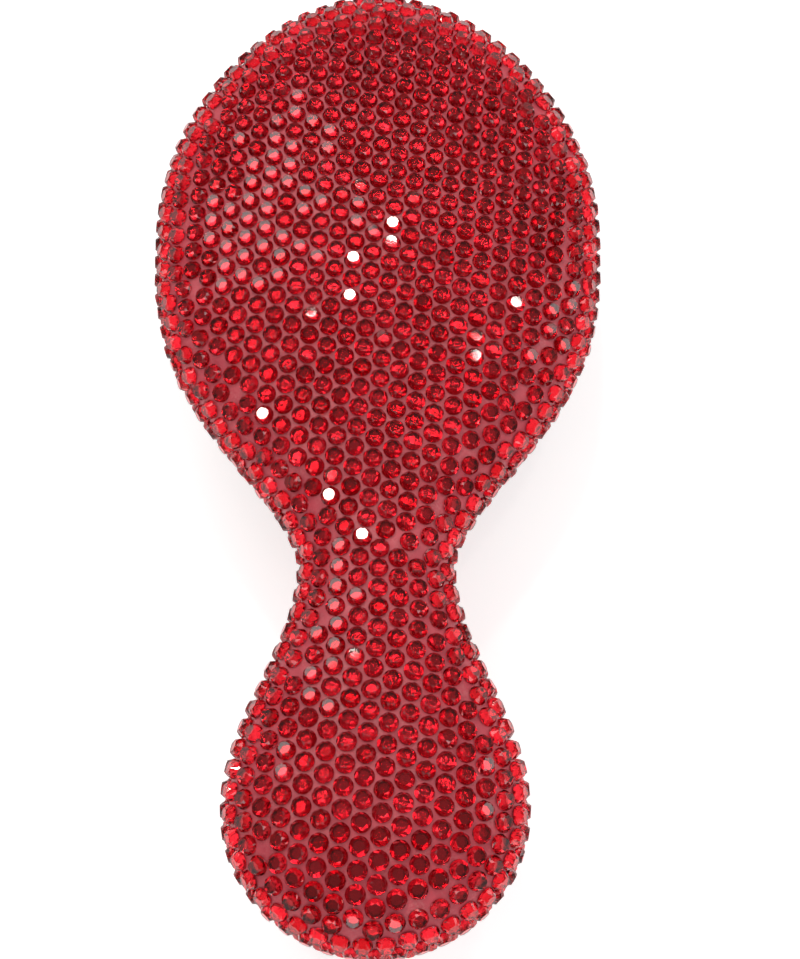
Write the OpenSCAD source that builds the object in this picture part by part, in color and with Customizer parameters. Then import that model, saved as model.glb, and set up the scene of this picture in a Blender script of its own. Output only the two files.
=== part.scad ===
// Oval cushion hair brush whose moulded body is paved with flat-back crystals.
// The brush lies on its pins: +Z up through its back, +Y towards the top of the head.
// The origin is on the floor under the middle of the body.

/* [Outline seen from above] */
// From the top of the head to its widest line
head_end = 38.2; // [34:0.2:42]
// From the head's widest line to the narrowest line of the neck
shoulder = 54; // [48:0.5:60]
// From the narrowest line of the neck to the handle's widest line
flare = 34.6; // [30:0.2:40]
// From the handle's widest line to the butt
butt_end = 18.4; // [16:0.2:21]
// Widest part of the head
head_w = 63.2; // [59:0.2:67]
// Narrowest part of the neck
neck_w = 18.9; // [17:0.1:22]
// Widest part of the handle
handle_w = 38.5; // [35:0.1:42]
// Roundness of the head's top, 2 is an ellipse
head_round = 1.83; // [1.75:0.01:2.1]
// Roundness of the butt, 2 is an ellipse
butt_round = 1.97; // [1.8:0.01:2.2]
// How late the shoulder turns in below the head, 1 is a plain wave
shoulder_turn = 1.57; // [1.3:0.01:1.7]
// How full the shoulder is, 1 is a plain wave
shoulder_full = 0.89; // [0.8:0.01:1.1]

/* [Section] */
// Height of the head's back above the widest line of the wall
head_crest = 9.5; // [8.5:0.1:11]
// The same height at the neck
neck_crest = 6.6; // [6.2:0.1:8]
// The same height on the handle
handle_crest = 8.1; // [7.2:0.1:9.5]
// Squareness of the back's section, 2 is an ellipse
crown = 2.5; // [2.3:0.05:2.8]
// Depth of the wall below its widest line, down to the front
front_depth = 5; // [4.6:0.1:6]
// How far the rounded front edge reaches in from the wall
lip_in = 4.2; // [3.8:0.1:5]
// Wall of the back shell
wall = 2; // [1.5:0.1:2.4]

/* [Front frame] */
// Thickness of the front frame
frame_t = 2; // [1.4:0.1:2.4]
// Clearance round the front frame in the shell's lip
frame_gap = 0.1; // [0.05:0.01:0.2]
// Width of the front frame beside the pad
rim_side = 2.9; // [2.8:0.1:4]
// Width of the front frame above the pad
rim_top = 2.9; // [2.8:0.1:4]
// Reach of the pad below the head's widest line
pad_reach = 38; // [36:0.2:42]
// Width of the raised bead round the pad
bead_w = 1.5; // [1:0.1:1.6]
// Height of the raised bead
bead_h = 0.7; // [0.4:0.1:1]
// Radius of the posts that weld the frame to the shell
post_r = 1.6; // [1.2:0.1:2]
// Clearance above the posts
post_gap = 0.6; // [0.4:0.05:1]

/* [Cushion pad] */
// How far the pad stands out of the front frame
pad_rise = 3.3; // [3:0.1:4.5]
// Rubber thickness of the pad
pad_t = 1.1; // [0.8:0.1:1.4]
// How far the pad's rounded shoulder reaches in
pad_dome = 14; // [10:0.5:16]
// Squareness of that shoulder, 2 is an ellipse
pad_square = 3.2; // [2.4:0.1:4]
// Width of the flange that holds the pad behind the frame
flange_w = 1.6; // [1.3:0.1:1.7]
// Clearance between the pad's wall and the frame
pad_gap = 0.15; // [0.1:0.05:0.3]
// Thickness of the retaining ring on the flange
ring_t = 1.6; // [1.2:0.1:2]
// Clearance between the flange and what holds it
flange_gap = 0.05; // [0.02:0.01:0.1]

/* [Pins] */
// Length of a pin outside the pad
pin_out = 13; // [10:0.5:16]
// Distance between the pins of a row
pin_pitch = 5; // [4.8:0.1:6]
// Radius of a pin where it leaves the pad
pin_root_r = 0.62; // [0.5:0.01:0.8]
// Radius of a pin below its ball
pin_neck_r = 0.42; // [0.3:0.01:0.5]
// Radius of the ball tip
ball_r = 0.85; // [0.7:0.01:1]
// Radius of the foot behind the pad
foot_r = 1.5; // [1.2:0.1:1.8]
// Thickness of the foot
foot_t = 0.8; // [0.6:0.1:1.2]
// Distance kept between the outer pins and the pad's edge
pin_edge = 4.4; // [4:0.1:6]

/* [Crystals] */
// Diameter of a crystal
crystal_d = 2.8; // [2.5:0.05:2.84]
// Height of a crystal
crystal_h = 1.2; // [0.9:0.05:1.5]
// Height of its straight girdle
girdle_h = 0.2; // [0.1:0.05:0.3]
// Diameter of its flat table
table_d = 1.5; // [1.2:0.05:1.8]
// Distance between neighbouring crystals
crystal_pitch = 2.95; // [2.93:0.01:3.2]
// Turn of the crystal columns from the brush's axis
lattice_turn = 4.3; // [0:0.1:10]
// Thickness of the adhesive under the crystals
glue_t = 0.25; // [0.15:0.01:0.4]
// Clearance between the shell and the adhesive
glue_gap = 0.04; // [0.03:0.01:0.06]
// Clearance under the crystals, which the hollow of the neck narrows
seat_gap = 0.26; // [0.24:0.01:0.35]

/* [Hidden] */
ROWS = 13;
$fn = 72;

// Heights above the floor
pad_z = pin_out;
front_z = pad_z + pad_rise;
part_z = front_z + front_depth;
bead_z = front_z - bead_h;
flange_z = front_z + frame_t + flange_gap;

// Stations along the brush
body_len = head_end + shoulder + flare + butt_end;
y_top = body_len / 2;
y_head = y_top - head_end;
y_neck = y_head - shoulder;
y_handle = y_neck - flare;
y_butt = -body_len / 2;

// The oval opening for the pad
frame_in = lip_in + frame_gap;
pad_a = head_w / 2 - frame_in - rim_side;
pad_b = (head_end - frame_in - rim_top + pad_reach) / 2;
pad_y = y_head - pad_reach + pad_b;

// Facets of the lofted skins, across the back outside and inside
STATIONS = 64;
ACROSS = 20;
ACROSS_IN = 10;
// Turns of the rings on the rounded front edge; the adhesive stops at the last but one
LIP_TURNS = [26, 52, 78, 90];
GLUE_TURNS = [26, 52, 78];
// Facets round the oval, rings on the pad's shoulder, facets round a ball tip
OVAL = 72;
PAD_RINGS = 6;
BALL_FACETS = 24;

// Step of the finite differences
STEP = 0.02;

// ---- The outline and the back, as functions of y, grown by g all round ----

function wave(t, turn) = (1 + cos(180 * pow(t, turn))) / 2;
function end_curve(t, n) = pow(max(0, 1 - pow(t, n)), 1 / n);

function half_w(y, g = 0) =
    y >= y_head ? (head_w / 2 + g) * end_curve((y - y_head) / (head_end + g), head_round)
    : y >= y_neck ? neck_w / 2 + g
        + (head_w - neck_w) / 2 * pow(wave((y_head - y) / shoulder, shoulder_turn), shoulder_full)
    : y >= y_handle ? neck_w / 2 + g + (handle_w - neck_w) / 2 * wave((y - y_handle) / flare, 1)
    : (handle_w / 2 + g) * end_curve((y_handle - y) / (butt_end + g), butt_round);

function crest(y, g = 0) =
    y >= y_head ? (head_crest + g) * end_curve((y - y_head) / (head_end + g), crown)
    : y >= y_neck ? neck_crest + g + (head_crest - neck_crest) * wave((y_head - y) / shoulder, 1)
    : y >= y_handle ? neck_crest + g + (handle_crest - neck_crest) * wave((y - y_handle) / flare, 1)
    : (handle_crest + g) * end_curve((y_handle - y) / (butt_end + g), crown);

function slope_w(y, g) = (half_w(y + STEP, g) - half_w(y - STEP, g)) / (2 * STEP);
function slope_c(y, g) = (crest(y + STEP, g) - crest(y - STEP, g)) / (2 * STEP);
function unit(v) = v / norm(v);

// Height of the back over the point x, y, above the wall's widest line
function back_z(x, y, g) = crest(y, g) * end_curve(abs(x) / half_w(y, g), crown);

// Outward normal of the back at x, y, z
function back_normal(x, y, z, g) =
    let (
        w = half_w(y, g),
        c = crest(y, g),
        q = min(1, abs(x) / w),
        h = min(1, z / c)
    )
    unit([
        sign(x) * pow(q, crown - 1) / w,
        -pow(q, crown) * slope_w(y, g) / w - pow(h, crown) * slope_c(y, g) / c,
        pow(h, crown - 1) / c
    ]);

// Outward normal of the outline at station y, in plan
function outline_normal(y, g) =
    y > y_top + g - 2 * STEP ? [0, 1]
    : y < y_butt - g + 2 * STEP ? [0, -1]
    : unit([1, -slope_w(y, g)]);

// Station t of the loop, from the top of the head at 0 to the butt at 180
function station(t, g) = (y_top + g) * cos(t);

// Point of the rounded front edge at station y, turned a degrees down from the wall
function lip_point(y, a, g) =
    let (n = outline_normal(y, g), inset = (lip_in + g) * (1 - cos(a)))
    [half_w(y, g) - n[0] * inset, y - n[1] * inset, part_z - (front_depth + g) * sin(a)];
function lip_normal(y, a, g) =
    let (n = outline_normal(y, g))
    unit([
        n[0] * cos(a) / (lip_in + g),
        n[1] * cos(a) / (lip_in + g),
        -sin(a) / (front_depth + g)
    ]);

function flip_x(p, flip) = flip ? concat([-p[0]], [for (i = [1 : len(p) - 1]) p[i]]) : p;

// ---- The lofted skins ----

// Points of one skin: both poles, the back's grid, then the rings of the front edge
function skin_points(g, across, turns) = concat(
    [[0, y_top + g, part_z], [0, y_butt - g, part_z]],
    [for (i = [1 : STATIONS - 1], j = [0 : across])
        let (y = station(180 * i / STATIONS, g), a = 180 * j / across)
        [
            half_w(y, g) * sign(cos(a)) * pow(abs(cos(a)), 2 / crown),
            y,
            part_z + crest(y, g) * pow(sin(a), 2 / crown)
        ]],
    [for (turn = turns, k = [0 : 2 * STATIONS - 1])
        let (i = k <= STATIONS ? k : 2 * STATIONS - k)
        flip_x(lip_point(station(180 * i / STATIONS, g), turn, g), k > STATIONS)]
);

function skin_count(across, rings) = 2 + (STATIONS - 1) * (across + 1) + rings * 2 * STATIONS;
function grid_at(i, j, across) = i == 0 ? 0 : i == STATIONS ? 1 : 2 + (i - 1) * (across + 1) + j;
function loop_at(k, across) =
    k <= STATIONS ? grid_at(k, 0, across) : grid_at(2 * STATIONS - k, across, across);
function ring_at(r, k, across) =
    let (turn = k % (2 * STATIONS))
    r == 0 ? loop_at(turn, across)
    : 2 + (STATIONS - 1) * (across + 1) + (r - 1) * 2 * STATIONS + turn;

function grid_faces(across, rings) = concat(
    [for (i = [0 : STATIONS - 1], j = [0 : across - 1])
        let (
            a = grid_at(i, j, across),
            b = grid_at(i + 1, j, across),
            c = grid_at(i + 1, j + 1, across),
            d = grid_at(i, j + 1, across)
        )
        each i == 0 ? [[a, b, c]] : i == STATIONS - 1 ? [[a, b, d]] : [[a, b, c], [a, c, d]]],
    [for (r = [0 : rings - 1], k = [0 : 2 * STATIONS - 1])
        let (
            a = ring_at(r, k, across),
            b = ring_at(r + 1, k, across),
            c = ring_at(r + 1, k + 1, across),
            d = ring_at(r, k + 1, across)
        )
        each [[a, b, c], [a, c, d]]]
);
function turned(faces, shift) = [for (f = faces) [f[2] + shift, f[1] + shift, f[0] + shift]];

// A closed wall between an outer and an inner skin, joined round the front edge
module double_skin(g_out, g_in, across_in, turns) {
    rings = len(turns);
    n_out = skin_count(ACROSS, rings);
    polyhedron(
        points = concat(skin_points(g_out, ACROSS, turns), skin_points(g_in, across_in, turns)),
        faces = concat(
            grid_faces(ACROSS, rings),
            turned(grid_faces(across_in, rings), n_out),
            [for (k = [0 : 2 * STATIONS - 1])
                let (
                    a = ring_at(rings, k, ACROSS),
                    b = n_out + ring_at(rings, k, across_in),
                    c = n_out + ring_at(rings, k + 1, across_in),
                    d = ring_at(rings, k + 1, ACROSS)
                )
                each [[a, b, c], [a, c, d]]]
        ),
        convexity = 6
    );
}

module back_shell() {
    color("firebrick") double_skin(0, -wall, ACROSS_IN, LIP_TURNS);
}

module crystal_adhesive() {
    color("indianred") double_skin(glue_gap + glue_t, glue_gap, ACROSS, GLUE_TURNS);
}

// ---- The front ----

function oval(grow) = [for (i = [0 : OVAL - 1])
    let (t = 360 * i / OVAL) [(pad_a + grow) * cos(t), pad_y + (pad_b + grow) * sin(t)]];
function frame_edge() = [for (k = [0 : 2 * STATIONS - 1])
    let (
        i = k <= STATIONS ? k : 2 * STATIONS - k,
        y = station(180 * i / STATIONS, 0),
        n = outline_normal(y, 0)
    )
    flip_x([half_w(y) - n[0] * frame_in, y - n[1] * frame_in], k > STATIONS)];

module oval_ring(outer, inner, z, h) {
    translate([0, 0, z]) linear_extrude(h) difference() {
        polygon(oval(outer));
        polygon(oval(inner));
    }
}

module weld_post(y) {
    top = part_z + back_z(post_r, y, -wall) - post_gap;
    translate([0, y, front_z + frame_t]) cylinder(h = top - front_z - frame_t, r = post_r);
}

module front_frame() {
    color("firebrick") {
        translate([0, 0, front_z]) linear_extrude(frame_t) difference() {
            polygon(frame_edge());
            polygon(oval(0));
        }
        oval_ring(bead_w, 0, bead_z, bead_h);
        for (y = [y_neck, y_neck - flare / 2, y_handle]) weld_post(y);
    }
}

module retaining_ring() {
    color("dimgray")
        oval_ring(flange_w, -pad_t, flange_z + pad_t + flange_gap, ring_t);
}

// ---- The cushion pad ----

// One of its skins, t behind the outer one: inset from the opening, then height
function pad_skin(t) = concat(
    [[-flange_w, flange_z + t], [pad_gap + t, flange_z + t]],
    [for (i = [0 : PAD_RINGS])
        let (a = 90 * i / PAD_RINGS)
        [
            pad_gap + t + (pad_dome - t) * (1 - pow(cos(a), 2 / pad_square)),
            bead_z - (bead_z - pad_z - t) * pow(sin(a), 2 / pad_square)
        ]]
);

module cushion_pad() {
    behind = pad_skin(pad_t);
    half = len(behind);
    rings = concat(pad_skin(0), [for (i = [half - 1 : -1 : 0]) behind[i]]);
    n = len(rings);
    points = concat(
        [for (r = rings, i = [0 : OVAL - 1])
            let (t = 360 * i / OVAL)
            [(pad_a - r[0]) * cos(t), pad_y + (pad_b - r[0]) * sin(t), r[1]]],
        [[0, pad_y, pad_z], [0, pad_y, pad_z + pad_t]]
    );
    function at(r, i) = (r % n) * OVAL + i % OVAL;
    strips = [for (r = [0 : n - 1], i = [0 : OVAL - 1])
        each r == half - 1 ? []
            : [[at(r, i), at(r, i + 1), at(r + 1, i + 1)], [at(r, i), at(r + 1, i + 1), at(r + 1, i)]]];
    caps = [for (i = [0 : OVAL - 1])
        each [
            [at(half - 1, i), at(half - 1, i + 1), n * OVAL],
            [at(half, i + 1), at(half, i), n * OVAL + 1]
        ]];
    color("black") polyhedron(points = points, faces = concat(strips, caps), convexity = 6);
}

// ---- The pins ----

row_pitch = 2 * (pad_b - pin_edge) / ROWS;

// A pin stands point down: ball tip on the floor, foot behind the pad
module pin() {
    foot_z = pad_z + pad_t + glue_gap;
    translate([0, 0, ball_r]) sphere(r = ball_r, $fn = BALL_FACETS);
    translate([0, 0, ball_r]) cylinder(h = foot_z - ball_r, r1 = pin_neck_r, r2 = pin_root_r);
    translate([0, 0, foot_z]) cylinder(h = foot_t, r = foot_r);
}

module pin_row(i) {
    y = (i - (ROWS + 1) / 2) * row_pitch;
    reach = (pad_a - pin_edge) * sqrt(1 - pow(y / (pad_b - pin_edge), 2));
    stagger = i % 2 == 0 ? 0.5 : 0;
    n = max(0, floor(reach / pin_pitch - stagger));
    color("black")
        for (k = [-n - 2 * stagger : n])
            translate([(k + stagger) * pin_pitch, pad_y - y, 0]) pin();
}

// ---- The crystals ----

// They sit on the adhesive with a flat back
seat = glue_gap + glue_t + seat_gap;

module crystal() {
    rotate_extrude() polygon([
        [0, 0],
        [crystal_d / 2, 0],
        [crystal_d / 2, girdle_h],
        [table_d / 2, crystal_h],
        [0, crystal_h]
    ]);
}

module set_crystals(places) {
    color("crimson")
        for (p = places)
            translate(p[0]) rotate([0, acos(p[1][2]), atan2(p[1][1], p[1][0])]) crystal();
}

// Length run along a chain of points, at each of them
function run_length(chain) =
    [for (i = 0, s = 0; i < len(chain);
        s = i < len(chain) - 1 ? s + norm(chain[i + 1] - chain[i]) : s,
        i = i + 1)
        s];

// Arc length along the back's section at the head's widest line, against height
RISE_STEPS = 40;
rise_curve = [for (i = [0 : RISE_STEPS])
    let (a = 90 * i / RISE_STEPS)
    [
        (head_w / 2 + seat) * pow(cos(a), 2 / crown),
        (head_crest + seat) * pow(sin(a), 2 / crown)
    ]];
rise_run = run_length(rise_curve);
rise_table = [for (i = [0 : RISE_STEPS]) [rise_run[i], rise_curve[i][1]]];

// The edge rows: 1 and 2 lie on the rounded front edge, 3 to 5 climb the wall
WALL_STEPS = 160;
edge_start = 0.55;
lip_arc = 90 / (PI / 4 * (lip_in + front_depth + 2 * seat));
function row_rise(i) = lookup(edge_start + (i - 3) * crystal_pitch, rise_table);
function row_drop(i) = lip_arc * ((3 - i) * crystal_pitch - edge_start);

// Where the contour at height z over the widest line meets the brush's axis
function contour_top(z) = y_head + (head_end + seat) * end_curve(z / (head_crest + seat), crown);
function contour_butt(z) = y_handle - (butt_end + seat) * end_curve(z / (handle_crest + seat), crown);

// Half of an edge row, from the top at t = 0 to the butt at t = 180: point and normal
function edge_place(i, t) =
    i < 3 ? let (y = station(t, seat))
        [lip_point(y, row_drop(i), seat), lip_normal(y, row_drop(i), seat)]
    : let (
        z = row_rise(i),
        top = contour_top(z),
        butt = contour_butt(z),
        y = (top + butt) / 2 + (top - butt) / 2 * cos(t),
        x = half_w(y, seat) * end_curve(min(1, z / crest(y, seat)), crown)
    )
    [[x, y, part_z + z], back_normal(x, y, z, seat)];

// The whole row: places one pitch apart round the closed loop
function edge_places(i) =
    let (
        half = [for (k = [0 : WALL_STEPS]) edge_place(i, 180 * k / WALL_STEPS)[0]],
        run = run_length(half),
        arc = [for (k = [0 : WALL_STEPS]) [run[k], 180 * k / WALL_STEPS]],
        reach = run[WALL_STEPS],
        count = floor(2 * reach / crystal_pitch),
        step = 2 * reach / count
    )
    [for (k = [0 : count - 1])
        let (
            s = (k + (i % 2) / 2) * step,
            flip = s > reach,
            place = edge_place(i, lookup(flip ? 2 * reach - s : s, arc))
        )
        [flip_x(place[0], flip), flip_x(place[1], flip)]];

// Inside the last edge row the crystals start on a lattice: columns along the brush,
// a little turned. The ones set too close to an edge row then push their neighbours in.
apart = crystal_d + glue_gap;
col_pitch = crystal_pitch * sqrt(3) / 2;
COLS = ceil(head_w / 2 / col_pitch) + 3;
STONES = ceil(body_len / 2 / crystal_pitch) + 2;
SQUEEZE = 0.74;
ROUNDS = 80;
// Diameters within which crystals push, and the share of an overlap given way in a round
NEARBY = 1.7;
YIELD = 0.4;
YIELD_EDGE = 0.8;
SLACK = 0.02;
function closest(p, stones) = min([for (q = stones) norm(q - p)]);
function on_back(x, y) = [x, y, part_z + back_z(x, y, seat)];
function inside(x, y) =
    y < y_top && y > y_butt && abs(x) < half_w(y) && back_z(x, y, seat) > row_rise(5);

function lattice(border) = [for (i = [-COLS : COLS], j = [-STONES : STONES])
    let (
        u = i * col_pitch,
        v = (j + (i % 2 == 0 ? 0 : 0.5)) * crystal_pitch,
        x = u * cos(lattice_turn) + v * sin(lattice_turn),
        y = v * cos(lattice_turn) - u * sin(lattice_turn)
    )
    if (inside(x, y) && closest(on_back(x, y), border) > SQUEEZE * apart) on_back(x, y)];

function around(p, stones) = [for (k = [0 : len(stones) - 1])
    let (d = norm(stones[k] - p)) if (d > 0 && d < NEARBY * apart) k];
function push(p, q, share) =
    let (d = norm(p - q), want = apart + SLACK)
    d < want ? (p - q) / d * (want - d) * share : [0, 0, 0];
function total(vectors) = [for (v = vectors) 1] * vectors;
function pushed(p, stones, links, border, edge_links) =
    let (moves = total(concat(
        [p],
        [for (k = links) push(p, stones[k], YIELD)],
        [for (k = edge_links) push(p, border[k], YIELD_EDGE)]
    )))
    on_back(moves[0], moves[1]);
function settle(stones, border) =
    let (
        links = [for (p = stones) around(p, stones)],
        edge_links = [for (p = stones) around(p, border)]
    )
    [for (r = 0, now = stones; r <= ROUNDS;
        now = r == ROUNDS ? now : [for (k = [0 : len(now) - 1])
            pushed(now[k], now, links[k], border, edge_links[k])],
        r = r + 1)
        if (r == ROUNDS) each now];

// Keeps the ones that are clear of all kept before them
function keep_clear(spots, taken) =
    [for (i = 0, got = taken; i <= len(spots);
        got = i < len(spots) && closest(spots[i], got) > apart ? concat(got, [spots[i]]) : got,
        i = i + 1)
        if (i == len(spots)) each [for (k = [len(taken) : 1 : len(got) - 1]) got[k]]];

// Single crystals fill what stays bare between the edge rows and the rest
FILL_STEP = 0.4;
FILL_RISE = 3;
function spots(taken) =
    [for (x = [head_w / 2 : -FILL_STEP : 0], y = [y_butt : FILL_STEP : y_top], side = [-1, 1])
        if (inside(side * x, y))
            let (p = on_back(side * x, y))
            if (p[2] - part_z < row_rise(5) + FILL_RISE && closest(p, taken) > apart) p];

function back_places(y_low, y_high) =
    let (
        border = [for (p = edge_places(5)) p[0]],
        regular = keep_clear(settle(lattice(border), border), border),
        taken = concat(border, regular),
        all_places = concat(regular, keep_clear(spots(taken), taken))
    )
    [for (p = all_places)
        if (p[1] > y_low && p[1] <= y_high)
            [p, back_normal(p[0], p[1], p[2] - part_z, seat)]];

// The neck's crystals end at this share of the flare and of the shoulder
NECK_SHARE = 0.3;
y_low_neck = y_neck - flare * NECK_SHARE;
y_high_neck = y_neck + shoulder * NECK_SHARE;

for (i = [1 : ROWS])
    pin_row(i);
for (i = [1 : 5])
    set_crystals(edge_places(i));
back_shell();
front_frame();
cushion_pad();
retaining_ring();
crystal_adhesive();
set_crystals(back_places(y_high_neck, y_top));  // head_crystals
set_crystals(back_places(y_low_neck, y_high_neck));  // neck_crystals
set_crystals(back_places(y_butt, y_low_neck));  // handle_crystals
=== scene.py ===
"""Looks of a cushion hair brush paved with red crystals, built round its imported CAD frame.

Every length is in metres, in the frame of the CAD model: +Z up through the crystal
back, +Y towards the top of the head, the ball tips of the pins on the floor.
"""

import logging
import math
import random
from collections.abc import Callable, Iterator
from contextlib import contextmanager
from dataclasses import dataclass, field
from enum import Enum

import bmesh
import bpy
import numpy as np
from mathutils import Matrix, Vector


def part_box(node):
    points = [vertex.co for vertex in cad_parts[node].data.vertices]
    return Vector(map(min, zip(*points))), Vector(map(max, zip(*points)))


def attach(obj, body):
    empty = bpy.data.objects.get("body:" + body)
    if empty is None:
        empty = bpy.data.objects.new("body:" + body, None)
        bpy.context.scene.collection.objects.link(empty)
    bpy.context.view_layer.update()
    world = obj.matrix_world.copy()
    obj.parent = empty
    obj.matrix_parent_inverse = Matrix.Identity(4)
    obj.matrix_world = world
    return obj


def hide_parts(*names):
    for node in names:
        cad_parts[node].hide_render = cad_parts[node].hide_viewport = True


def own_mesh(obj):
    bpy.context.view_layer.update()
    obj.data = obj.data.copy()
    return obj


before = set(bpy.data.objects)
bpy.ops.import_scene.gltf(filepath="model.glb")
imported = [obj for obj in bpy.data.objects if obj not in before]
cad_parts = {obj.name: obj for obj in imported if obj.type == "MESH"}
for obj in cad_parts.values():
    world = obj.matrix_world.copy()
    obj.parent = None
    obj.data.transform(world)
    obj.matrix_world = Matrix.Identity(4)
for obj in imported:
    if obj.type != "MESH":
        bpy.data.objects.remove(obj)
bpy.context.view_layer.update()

LOG = logging.getLogger("brush")
MM = 0.001
UP = Vector((0.0, 0.0, 1.0))
# Points of a CAD mesh that lie in one cell of this size are one point
POINT_GRID = 0.001 * MM
# Points this close to a crystal's lowest one belong to its flat back
BACK_BAND = 0.06 * MM
# A face whose normal reaches this far up or down is level
LEVEL = 0.9
# The middle of a noise texture's range, which a ramp spreads to the full range
NOISE_SPAN = (0.3, 0.7)
# Keeps a length from being zero where it divides
TINY = 1e-9


class Body(str, Enum):
    """The moving bodies of the CAD model."""

    BRUSH = "brush"
    PINS = "pins"


class Slot(str, Enum):
    """Names of the material slots, passed to install."""

    SHELL = "shell"
    FRAME = "frame"
    PAD = "pad"
    RING = "ring"
    ADHESIVE = "adhesive"
    PINS = "pins"
    CRYSTALS = "crystals"


# ---------------------------------------------------------------- modelling helpers


def only(piece: bpy.types.Object) -> None:
    """Makes a piece the only selected and active object.

    Args:
        piece: the object to select.
    """
    bpy.ops.object.select_all(action="DESELECT")
    piece.select_set(True)
    bpy.context.view_layer.objects.active = piece


@contextmanager
def editing(piece: bpy.types.Object) -> Iterator[None]:
    """Opens a piece in edit mode with nothing of it selected.

    Args:
        piece: the mesh object to edit.
    """
    only(piece)
    bpy.ops.object.mode_set(mode="EDIT")
    bpy.ops.mesh.select_mode(type="FACE")
    bpy.ops.mesh.select_all(action="DESELECT")
    try:
        yield
    finally:
        bpy.ops.object.mode_set(mode="OBJECT")


def pick_faces(piece: bpy.types.Object, test: Callable[[bmesh.types.BMFace], bool]) -> None:
    """Selects, in edit mode, the faces that pass a test.

    Args:
        piece: the object being edited.
        test: says of a face whether it is wanted.
    """
    mesh = bmesh.from_edit_mesh(piece.data)
    for face in mesh.faces:
        face.select_set(test(face))
    mesh.select_flush_mode()
    bmesh.update_edit_mesh(piece.data)


def settle(piece: bpy.types.Object, name: str) -> bpy.types.Object:
    """Names a piece and moves its place, turn and size into its mesh.

    Args:
        piece: the finished object.
        name: its new name.

    Returns:
        The same object.
    """
    only(piece)
    bpy.ops.object.transform_apply(location=True, rotation=True, scale=True)
    piece.name = name
    piece.data.name = name
    return piece


def apply_modifier(piece: bpy.types.Object, kind: str, **settings: object) -> None:
    """Adds a modifier with its settings and applies it.

    Args:
        piece: the object that gets it.
        kind: the modifier's type, such as BEVEL.
        settings: the modifier's properties.
    """
    only(piece)
    modifier = piece.modifiers.new(kind.lower(), kind)
    for key, value in settings.items():
        setattr(modifier, key, value)
    bpy.ops.object.modifier_apply(modifier=modifier.name)


def joined(pieces: list[bpy.types.Object], name: str) -> bpy.types.Object:
    """Joins several objects into one.

    Args:
        pieces: the objects, each with its own mesh.
        name: the name of the result.

    Returns:
        The joined object.
    """
    bpy.ops.object.select_all(action="DESELECT")
    for piece in pieces:
        piece.select_set(True)
    bpy.context.view_layer.objects.active = pieces[0]
    if len(pieces) > 1:
        bpy.ops.object.join()
    return settle(pieces[0], name)


def copy_at(model: bpy.types.Object, place: Matrix) -> bpy.types.Object:
    """Copies a model with its own mesh, moved to a place.

    Args:
        model: the object to copy.
        place: where the copy goes.

    Returns:
        The copy.
    """
    twin = model.copy()
    twin.data = model.data.copy()
    twin.data.transform(place)
    bpy.context.scene.collection.objects.link(twin)
    return twin


def discard(piece: bpy.types.Object) -> None:
    """Deletes a model that was only made to be copied."""
    bpy.data.objects.remove(piece, do_unlink=True)


def merged_copy(node: str, name: str, weld: float = 0.002 * MM) -> bpy.types.Object:
    """Copies a CAD node and joins its loose triangles into one skin.

    Args:
        node: the CAD node to copy.
        name: the name of the copy.
        weld: how far apart two points may be that become one.

    Returns:
        The copy.
    """
    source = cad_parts[node]
    copy = bpy.data.objects.new(name, source.data.copy())
    bpy.context.scene.collection.objects.link(copy)
    copy.data.materials.clear()
    copy.data.name = name
    only(copy)
    if copy.data.has_custom_normals:
        bpy.ops.mesh.customdata_custom_splitnormals_clear()
    with editing(copy):
        bpy.ops.mesh.select_all(action="SELECT")
        bpy.ops.mesh.remove_doubles(threshold=weld)
    return copy


def install(
    piece: bpy.types.Object, body: Body, slot: Slot, material: bpy.types.Material | None, *nodes: str
) -> None:
    """Gives a finished piece its material, hangs it on its body, and hides the CAD nodes it stands for.

    Args:
        piece: the finished object.
        body: the CAD body that it moves with.
        slot: not used.
        material: its material, or None if its mesh already has some.
        nodes: the CAD nodes that it stands for.
    """
    if material is not None:
        piece.data.materials.clear()
        piece.data.materials.append(material)
    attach(piece, body.value)
    if nodes:
        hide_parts(*nodes)
    LOG.info("%s: %d faces, rides on %s", piece.name, len(piece.data.polygons), body.value)


# ---------------------------------------------------------------- reading the CAD solids


@dataclass(frozen=True)
class Solid:
    """One closed solid of a CAD node."""

    points: np.ndarray

    @property
    def low(self) -> np.ndarray:
        """Its lowest corner."""
        return self.points.min(axis=0)

    @property
    def high(self) -> np.ndarray:
        """Its highest corner."""
        return self.points.max(axis=0)


def solids_of(node: str) -> list[Solid]:
    """Splits a CAD node's loose triangles into its solids.

    Args:
        node: the CAD node's name.

    Returns:
        One entry per solid, in the order in which they first appear.
    """
    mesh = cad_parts[node].data
    mesh.calc_loop_triangles()
    points = np.empty(len(mesh.vertices) * 3)
    mesh.vertices.foreach_get("co", points)
    corners = np.empty(len(mesh.loop_triangles) * 3, dtype=np.int64)
    mesh.loop_triangles.foreach_get("vertices", corners)
    points = points.reshape(-1, 3)
    grid = np.round(points / POINT_GRID).astype(np.int64)
    shared, first, where = np.unique(grid, axis=0, return_index=True, return_inverse=True)
    triangles = where.reshape(-1)[corners].reshape(-1, 3)
    label = np.arange(len(shared))
    while True:
        lowest = label[triangles].min(axis=1)
        fresh = label.copy()
        for corner in range(3):
            np.minimum.at(fresh, triangles[:, corner], lowest)
        fresh = fresh[fresh]
        if np.array_equal(fresh, label):
            break
        label = fresh
    used = np.unique(triangles)
    groups: dict[int, list[int]] = {}
    for index in used:
        groups.setdefault(int(label[index]), []).append(int(first[index]))
    return [Solid(points[members]) for members in groups.values()]


@dataclass(frozen=True)
class Seat:
    """Where a crystal sits: the middle of its flat back, and the way it faces."""

    middle: Vector
    facing: Vector


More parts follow.
